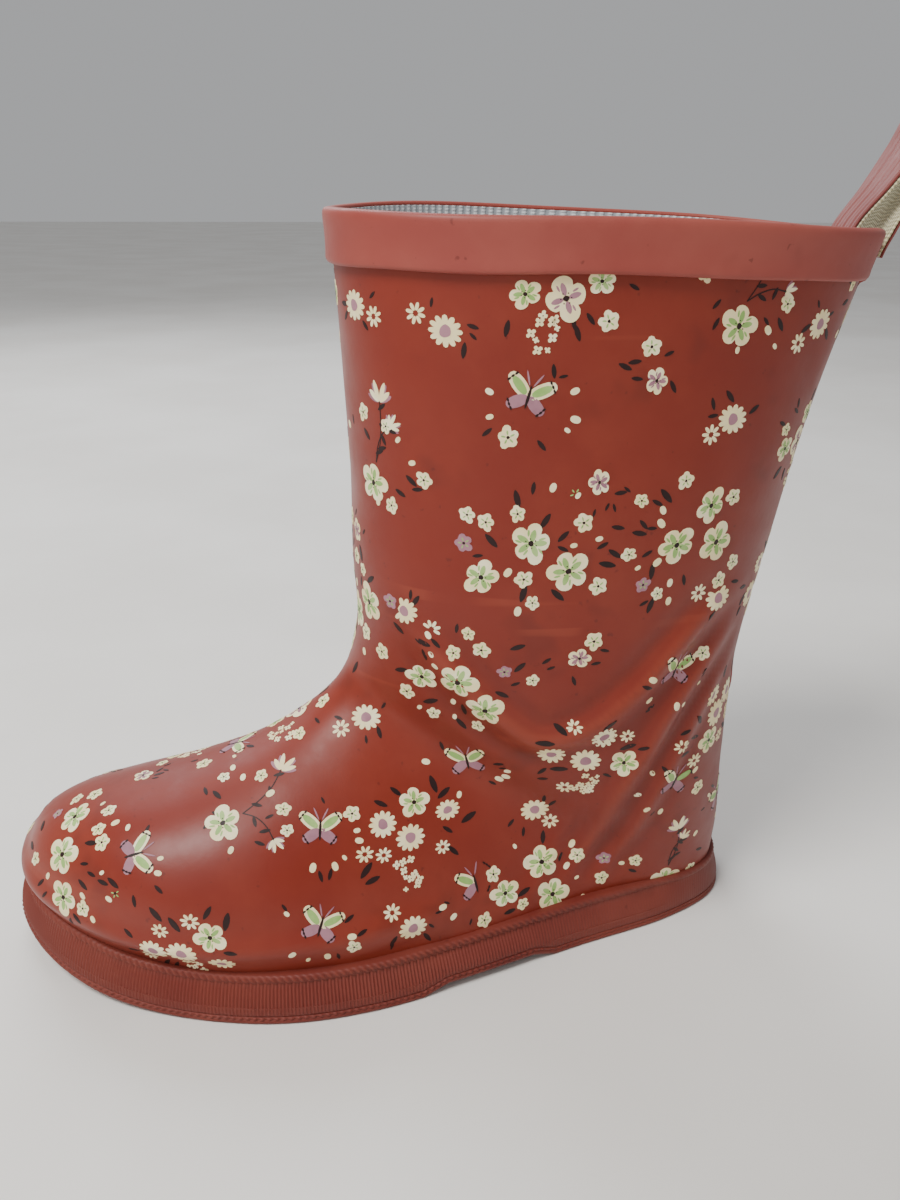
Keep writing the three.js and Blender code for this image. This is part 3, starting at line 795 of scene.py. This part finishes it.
class Bunch:
    """One group of flowers, in millimetres about its middle: u to the right and v up, seen from outside.

    Angles are in degrees here. The group finds room for its own flowers.
    """

    def __init__(self, seed):
        self.shapes = []
        self.flowers = []
        self.rng = np.random.default_rng(seed)

    def shape(self, ink_name, u, v, outline, level=0):
        """Adds an outline in one ink; each level lies a little higher, and neighbours differ slightly."""
        height = PRINT_LIFT + 0.03 * level + 0.003 * (len(self.shapes) % 5)
        rings = math.ceil(np.linalg.norm(outline, axis=1).max() / RING_SPACING)
        self.shapes.append((ink_name, u, v, outline, height, rings))

    def leaf(self, u, v, length, turn):
        self.shape("dark", u, v, petal_shape(length, 0.34 * length, turn, tip=0.7))

    def stem(self, points):
        """A thin line through the points, as short overlapping pieces."""
        length = sum(math.dist(a, b) for a, b in zip(points, points[1:]))
        path = spline(points, 2 + int(2 * length))[0]
        for (u, v), (u2, v2) in zip(path[:-1], path[1:]):
            step = math.hypot(u2 - u, v2 - v)
            turn = math.degrees(math.atan2(v2 - v, u2 - u))
            self.shape("dark", (u + u2) / 2, (v + v2) / 2, petal_shape(1.9 * step, 0.32, turn, 8, 1))

    def blossom(self, u, v, radius, turn, tint="green", lobes=5, squash=1.0):
        """A large flower with a tinted stroke and a thin line in each petal and a dotted eye."""
        self.shape("cream", u, v, round_shape(radius, lobes, 0.36, turn, squash, 40), 1)
        for k in range(lobes):
            a = turn + 360 * k / lobes
            du, dv = turned([(0.42 * radius, 0)], a)[0] * (1, squash)
            self.shape(tint, u + du, v + dv, petal_shape(0.6 * radius, 0.27 * radius, a), 2)
            du, dv = turned([(0.52 * radius, 0.23 * radius)], a)[0] * (1, squash)
            self.shape(tint, u + du, v + dv, petal_shape(0.32 * radius, 0.1 * radius, a + 12), 2)
        self.shape("dark", u, v, round_shape(0.15 * radius, 4, 0.2, turn, squash, 10), 3)
        for k in range(6):
            du, dv = turned([(0.25 * radius, 0)], turn + 60 * k + 20)[0] * (1, squash)
            self.shape("dark", u + du, v + dv, round_shape(0.035 * radius, 3, 0, 0, 1, 6), 3)

    def small(self, u, v, radius, turn, base):
        """A small five-petalled flower, with green strokes unless it is tiny."""
        self.shape(base, u, v, round_shape(radius, 5, 0.4, turn, 0.95, 24), 1)
        if radius > 1.6:
            for k in range(5):
                a = turn + 72 * k
                du, dv = turned([(0.4 * radius, 0)], a)[0]
                self.shape("green", u + du, v + dv, petal_shape(0.42 * radius, 0.16 * radius, a, 8), 2)
        self.shape("dark", u, v, round_shape(0.16 * radius, 3, 0.1, turn, 1, 6), 3)

    def bud(self, u, v, radius, turn):
        self.shape("cream", u, v, petal_shape(2.2 * radius, 1.5 * radius, turn, 12, 1.2), 1)

    def daisy(self, u, v, radius, turn, petals=12, squash=1.0, centre=True):
        for k in range(petals):
            a = turn + 360 * k / petals
            du, dv = turned([(0.64 * radius, 0)], a)[0] * (1, squash)
            petal = petal_shape(0.78 * radius, 0.36 * radius, a, 10, 1.4) * (1, squash)
            self.shape("cream", u + du, v + dv, petal, 1)
        if centre:
            self.shape("mauve", u, v, round_shape(0.38 * radius, 6, 0.08, turn, squash, 18), 3)
            self.shape("cream", u, v, round_shape(0.46 * radius, 8, 0.12, turn, squash, 18), 2)

    def cluster(self, u, v, radius, count, seed):
        """Many tiny four-petalled flowers and dots, close together."""
        rng = np.random.default_rng(seed)
        placed = []
        while len(placed) < count:
            du, dv = radius * rng.uniform(-1, 1, 2) * (0.7, 1)
            if all(math.hypot(du - a, dv - b) > 1.5 for a, b in placed) or rng.random() < 0.02:
                placed.append((du, dv))
                size = 1.15 if len(placed) % 3 else 0.75
                outline = round_shape(size, 4, 0.5, rng.uniform(0, 90), 1, 16)
                self.shape("cream", u + du, v + dv, outline, 1)
                if size > 1:
                    self.shape("dark", u + du, v + dv, round_shape(0.16, 3, 0, 0, 1, 5), 3)

    def lotus(self, u, v, radius, turn):
        """A half-open flower: petals spread to both sides, the mauve ones behind."""
        for kind, level, petals in (
            ("mauve", 0, ((-66, 0.95), (66, 0.95), (-30, 1.1), (28, 1.1))),
            ("cream", 1, ((-52, 0.95), (50, 0.95), (-22, 1.15), (18, 1.2))),
        ):
            for spread, size in petals:
                du, dv = turned([(0.62 * radius * size, 0)], turn + spread)[0]
                petal = petal_shape(1.1 * radius * size, 0.36 * radius, turn + spread)
                self.shape(kind, u + du, v + dv, petal, level)

    def wing(self, u, v, size, a, length, width, kind):
        du, dv = turned([(0.62 * size * length, 0)], a)[0]
        self.shape(kind, u + du, v + dv, petal_shape(1.2 * size * length, size * width, a, 18, 1.3), 1)
        if kind == "cream":
            middle = petal_shape(0.86 * size * length, 0.42 * size, a, 14, 1.2)
            self.shape("green", u + du * 0.95, v + dv * 0.95, middle, 2)
        for k in (-1, 0, 1):
            du, dv = turned([(1.05 * size * length, 0.16 * k * size)], a + 3 * k)[0]
            self.shape("dark", u + du, v + dv, petal_shape(0.22 * size, 0.12 * size, a + 90, 8), 3)

    def butterfly(self, u, v, size, turn):
        for spread in (38, 142):
            self.wing(u, v, size, turn + spread, 1.25, 0.72, "cream")
        for spread in (-35, -145):
            self.wing(u, v, size, turn + spread, 0.95, 0.62, "mauve")
        self.shape("dark", u, v, petal_shape(1.2 * size, 0.16 * size, turn + 90, 10), 3)
        for lean in (-16, 16):
            du, dv = turned([(0.95 * size, 0)], turn + 90 + lean)[0]
            feeler = petal_shape(0.8 * size, 0.1 * size, turn + 90 + 1.6 * lean, 8)
            self.shape("mauve", u + du, v + dv, feeler, 2)

    def spot(self, radius, near, far):
        """A place for a flower and the way out to it, between two distances from the middle.

        It is clear of the flowers before it, unless every try fails; then the last try is taken.
        """
        for _ in range(SPOT_TRIES):
            a, away = self.rng.uniform(0, 2 * np.pi), self.rng.uniform(near, far)
            u, v = 1.15 * away * math.cos(a), 0.9 * away * math.sin(a)
            if all(math.hypot(u - x, v - y) > 0.95 * (radius + other) for x, y, other in self.flowers):
                break
        self.flowers.append((u, v, radius))
        return u, v, math.degrees(a)

    def leaves(self, count, near, far, size=3.2):
        for _ in range(count):
            length = size * self.rng.uniform(0.7, 1.3)
            u, v, way = self.spot(0.3 * length, near, far)
            self.leaf(u, v, length, way + self.rng.uniform(-40, 40))

    def smalls(self, count, near, far, radius=2.2):
        for k in range(count):
            size = radius * self.rng.uniform(0.8, 1.15)
            u, v, way = self.spot(size, near, far)
            self.small(u, v, size, way, base="mauve" if k % 5 == 4 else "cream")

    def buds(self, count, near, far):
        for _ in range(count):
            u, v, way = self.spot(1.1, near, far)
            self.bud(u, v, self.rng.uniform(0.7, 1.2), way)

    def twig(self, reach, bend):
        """A bent stem with leaves on alternate sides; gives the place and direction of its end."""
        way = math.radians(self.rng.uniform(50, 130))
        points = [(0, 0)]
        for k in range(3):
            way += bend * self.rng.uniform(0.4, 1)
            u, v = points[-1]
            points.append((u + reach / 3 * math.cos(way), v + reach / 3 * math.sin(way)))
            lean = 55 if k % 2 else -55
            self.leaf(points[-1][0] + 0.8, points[-1][1] - 0.8, 3, math.degrees(way) + lean)
        self.stem(points)
        return (*points[-1], math.degrees(way))


def bouquet(seed):
    g = Bunch(seed)
    for radius, near, far in ((5.3, 0, 2), (5.2, 7, 10), (4.6, 9, 14)):
        u, v, way = g.spot(radius, near, far)
        g.blossom(u, v, radius, way, squash=g.rng.uniform(0.8, 1))
    g.smalls(8, 8, 18)
    g.buds(6, 7, 19)
    g.leaves(12, 7, 19, 3.6)
    return g


def daisies(seed):
    g = Bunch(seed)
    for radius, near, far in ((4.1, 0, 3), (3.8, 5, 9), (3.5, 6, 11)):
        u, v, way = g.spot(radius, near, far)
        g.daisy(u, v, radius, way, squash=g.rng.uniform(0.75, 1))
    u, v, way = g.spot(4.2, 6, 10)
    g.blossom(u, v, 4.2, way)
    for radius in (2.5, 2.3, 2.2):
        u, v, way = g.spot(radius, 8, 14)
        g.daisy(u, v, radius, way, 8, 0.85, centre=False)
    u, v, way = g.spot(3.6, 7, 12)
    g.cluster(u, v, 3.8, 11, seed)
    g.leaves(9, 7, 15, 4)
    return g


def wild_flowers(seed):
    g = Bunch(seed)
    u, v, way = g.spot(4.7, 0, 2)
    g.blossom(u, v, 4.7, way, tint="mauve", lobes=4)
    for radius in (3.6, 3.3):
        u, v, way = g.spot(radius, 6, 10)
        g.blossom(u, v, radius, way, squash=0.85)
    g.smalls(3, 7, 12)
    u, v, way = g.spot(4, 9, 12)
    g.cluster(u, v, 4, 10, seed)
    g.leaves(9, 6, 14)
    return g


def long_stems(seed):
    g = Bunch(seed)
    g.spot(4.9, 0, 1)
    g.blossom(0, -5.6, 4.9, 20)
    for reach, bend, size in ((15, 0.3, 3.8), (11, -0.4, 2.6)):
        u, v, way = g.twig(reach, bend)
        g.lotus(u, v, size, way)
    g.smalls(4, 9, 13, 2)
    g.buds(4, 9, 14)
    g.leaves(6, 7, 13)
    return g


def butterflies(seed):
    g = Bunch(seed)
    g.butterfly(0, 2.5, 4.5, g.rng.uniform(-35, 35))
    g.flowers.append((0, 2.5, 6.5))
    g.smalls(1, 8, 10, 2.4)
    g.buds(5, 7.5, 10)
    g.leaves(4, 7.5, 11, 2.6)
    return g


def flower_pair(seed):
    g = Bunch(seed)
    u, v, way = g.spot(3.2, 0, 2)
    g.blossom(u, v, 3.2, way, tint="mauve", squash=0.8)
    g.smalls(1, 5, 6.5, 2.3)
    g.leaves(5, 4, 7, 2.8)
    return g


def daisy_pair(seed):
    g = Bunch(seed)
    u, v, way = g.spot(4, 0, 2)
    g.daisy(u, v, 4, way, squash=0.85)
    u, v, way = g.spot(2.4, 6, 7)
    g.daisy(u, v, 2.4, way, 8, centre=False)
    g.leaves(4, 4, 7, 3)
    return g


PRINT_SEED = 12
PRINT_DARTS = 5000
PRINT_FIRST_STATION = 0.4
PRINT_LAST_STATION = LAST_STATION - 0.8
# How far a group's middle stays above the foxing, and from the back strip in angle.
PRINT_CLEARANCE = 4
STRIP_CLEARANCE = 0.35
# How far apart the middles of large and small groups stay, and the kinds that take turns.
PRINT_GROUPS = (
    (37, (bouquet, wild_flowers, daisies, long_stems)),
    (21.5, (butterflies, flower_pair, daisy_pair)),
)


def print_places():
    """Groups and where they go: spread over the boot, large ones first and small ones in the gaps."""
    rng = np.random.default_rng(PRINT_SEED)
    stations = rng.uniform(PRINT_FIRST_STATION, PRINT_LAST_STATION, PRINT_DARTS)
    angles = rng.uniform(-np.pi, np.pi, PRINT_DARTS)
    points = last_point(stations, angles)
    printable = points[:, 2] > foxing_height(points[:, 0]) + PRINT_CLEARANCE
    printable &= (np.abs(angles) < np.pi - STRIP_CLEARANCE) | (stations > STRIP_END + 0.4)
    chosen = []
    for spacing, kinds in PRINT_GROUPS:
        own = []
        for k in np.flatnonzero(printable):
            gaps = np.linalg.norm(points[chosen + own] - points[k], axis=1)
            if np.all(gaps > spacing):
                own.append(k)
        chosen += own
        for order, k in enumerate(own):
            yield kinds[order % len(kinds)](order), stations[k], angles[k], rng.uniform(-25, 25)


def surface_at(start, towards, reach=40):
    """The place and outward direction where a line meets the upper."""
    place, normal, _, _ = upper_tree.ray_cast(start, towards, reach)
    if place is None:
        return None
    return place, normal if normal.dot(towards) < 0 else -normal


def axes_at(normal, up):
    up = (up - normal * up.dot(normal)).normalized()
    return up.cross(normal), up


def lay_group(group, station, angle, turn, inks, taken):
    """Walks each shape of a group out over the upper and presses it on, clear of the groups before it."""
    middle = Vector(boot_surface(station, angle, 0))
    normal = Vector(last_normal(np.array(station), np.array(angle)))
    lean = float(step_up(0.5, 0.95, np.array(abs(normal.z))))
    start = surface_at(middle + 6 * normal, -normal)
    if start is None:
        return
    own = []
    for ink_name, u, v, outline, height, rings in group.shapes:
        (du, dv), = turned([(u, v)], turn)
        place, facing, up = start[0], start[1], Vector((-2 * lean, 0, 1))
        for _ in range(3):
            right, up = axes_at(facing, up)
            found = surface_at(place + right * (du / 3) + up * (dv / 3) + facing * 8, -facing, 20)
            if found is None:
                break
            place, facing = found
        reach = 0.9 * np.abs(outline).max()
        if found is None or any((place - other).length < reach + size for other, size in taken):
            continue
        own.append((place, reach))
        right, up = axes_at(facing, up)
        press(turned(outline, turn), place, facing, right, up, height, rings, inks[ink_name])
    taken += own


def press(outline, place, facing, right, up, height, rings, sheet):
    """Adds one thin closed shape that follows the upper."""
    rows = [np.zeros((1, 2))] + [outline * (k + 1) / rings for k in range(rings)]
    top, base = [], []
    for du, dv in np.vstack(rows):
        found = surface_at(place + right * du + up * dv + facing * 4, -facing, 9)
        if found is None:
            return
        top.append(found[0] + found[1] * height)
        base.append(found[0] - found[1] * PRINT_DEPTH)
    count = len(outline)
    points, faces = sheet
    first = len(points)
    edge = first + 1 + (rings - 1) * count
    under = first + len(top)
    points += top + base[-count:] + [base[0]]
    for j in range(count):
        k = (j + 1) % count
        faces.append((first, first + 1 + j, first + 1 + k))
        for ring in range(rings - 1):
            low = first + 1 + ring * count
            faces.append((low + j, low + count + j, low + count + k, low + k))
        faces.append((edge + j, under + j, under + k, edge + k))
        faces.append((under + j, under + count, under + k))


def add_print():
    inks = {name: ([], []) for name in ("cream", "green", "mauve", "dark")}
    looks = {
        "cream": ink("print_cream", colour(240, 224, 172), colour(247, 238, 200)),
        "green": ink("print_green", colour(140, 178, 96), colour(166, 196, 122)),
        "mauve": ink("print_mauve", colour(164, 118, 130), colour(146, 102, 116)),
        "dark": ink("print_dark", colour(36, 9, 7), colour(26, 7, 6)),
    }
    taken = []
    for group, station, angle, turn in print_places():
        lay_group(group, station, angle, turn, inks, taken)
    for name, (points, faces) in inks.items():
        add_piece("print_" + name, points, faces, looks[name], 40)


add_print()

# ---------------------------------------------------------------- stage

def add_floor():
    mesh = bpy.data.meshes.new("floor")
    size = 6.0
    corners = [(-size, -size, 0), (size, -size, 0), (size, size, 0), (-size, size, 0)]
    mesh.from_pydata(corners, [], [(0, 1, 2, 3)])
    look = Look("floor", 0.75)
    look.colour(look.mix(look.band(look.noise(6, 4), 0.3, 0.7), colour(226, 223, 218), colour(234, 232, 228)))
    mesh.materials.append(look.material)
    floor = bpy.data.objects.new("floor", mesh)
    bpy.context.scene.collection.objects.link(floor)


def add_light(name, place, target, size, power, tint):
    data = bpy.data.lights.new(name, "AREA")
    data.shape = "DISK"
    data.size = size
    data.energy = power
    data.color = tint
    light = bpy.data.objects.new(name, data)
    bpy.context.scene.collection.objects.link(light)
    towards = Vector(target) - Vector(place)
    light.matrix_world = Matrix.Translation(place) @ towards.to_track_quat("-Z", "Y").to_matrix().to_4x4()


def add_lights():
    """A key light that grazes the outer side, a weak fill, a light from the back and a pale room."""
    add_light("key", (0.55, 0.4, 1.1), (0, 0, 0.08), 0.5, 16.5, (1, 0.98, 0.95))
    add_light("fill", (0.9, 1.2, 0.7), (0, 0, 0.08), 0.8, 2.5, (1, 0.98, 0.96))
    add_light("back", (0.3, -1.0, 0.95), (0, 0, 0.1), 0.8, 11, (0.95, 0.97, 1))
    world = bpy.data.worlds.new("studio")
    world.use_nodes = True
    world.node_tree.nodes["Background"].inputs["Color"].default_value = (0.92, 0.93, 0.95, 1)
    world.node_tree.nodes["Background"].inputs["Strength"].default_value = 0.45
    bpy.context.scene.world = world


add_floor()
add_lights()
